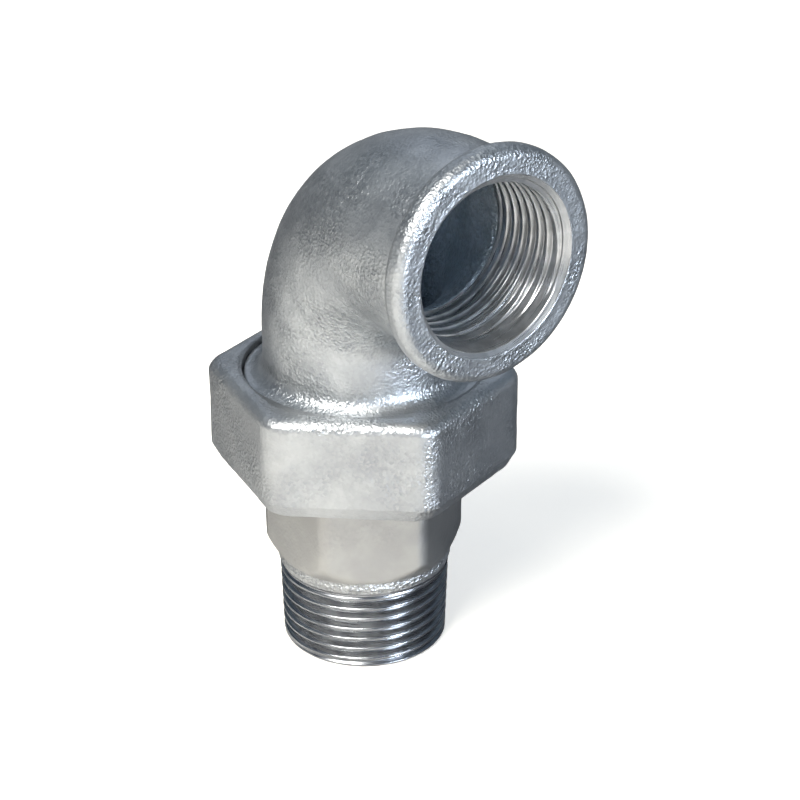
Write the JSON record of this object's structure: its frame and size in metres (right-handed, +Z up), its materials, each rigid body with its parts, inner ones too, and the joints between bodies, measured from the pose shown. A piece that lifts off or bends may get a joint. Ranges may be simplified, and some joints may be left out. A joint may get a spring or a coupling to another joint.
{
  "type": "pipe union elbow",
  "caption": "Elbow pipe union with a male taper-threaded end, a spanner hexagon, a loose hexagon union nut and a beaded female-threaded outlet at a right angle.",
  "frame": {"origin": "centre of the male end face, which the part also stands on", "axes": "+Z up the union axis from the male end, +X out of the female mouth, +Y completes the right-handed frame"},
  "size_m": [0.0698, 0.0576, 0.1151],
  "materials": {
    "galvanised_tailpiece": "hot-dip galvanised malleable iron, thread cut after galvanising",
    "gasket_rubber": "matte black rubber",
    "galvanised_nut": "hot-dip galvanised malleable iron",
    "galvanised_elbow": "hot-dip galvanised malleable iron, grainy, thread cut after galvanising"
  },
  "bodies": {
    "tailpiece": {"male_tailpiece": "galvanised_tailpiece"},
    "seal": {"gasket": "gasket_rubber"},
    "nut": {"union_nut": "galvanised_nut"},
    "elbow": {"elbow_body": "galvanised_elbow"}
  },
  "joints": [
    {"name": "swivel", "type": "hinge", "parent": "tailpiece", "child": "seal", "pos_m": [0, 0, 0.0479], "axis": [0, 0, 1], "continuous": true},
    {"name": "nut_spin", "type": "hinge", "parent": "seal", "child": "nut", "pos_m": [0, 0, 0.049], "axis": [0, 0, -1], "range_deg": [0, 1440]},
    {"name": "elbow_lift", "type": "slide", "parent": "seal", "child": "elbow", "axis": [0, 0, 1], "range_m": [0, 0.00924]}
  ],
  "couplings": [
    {"joint": "elbow_lift", "follows": "nut_spin", "m_per_rad": 0.00036749}
  ]
}
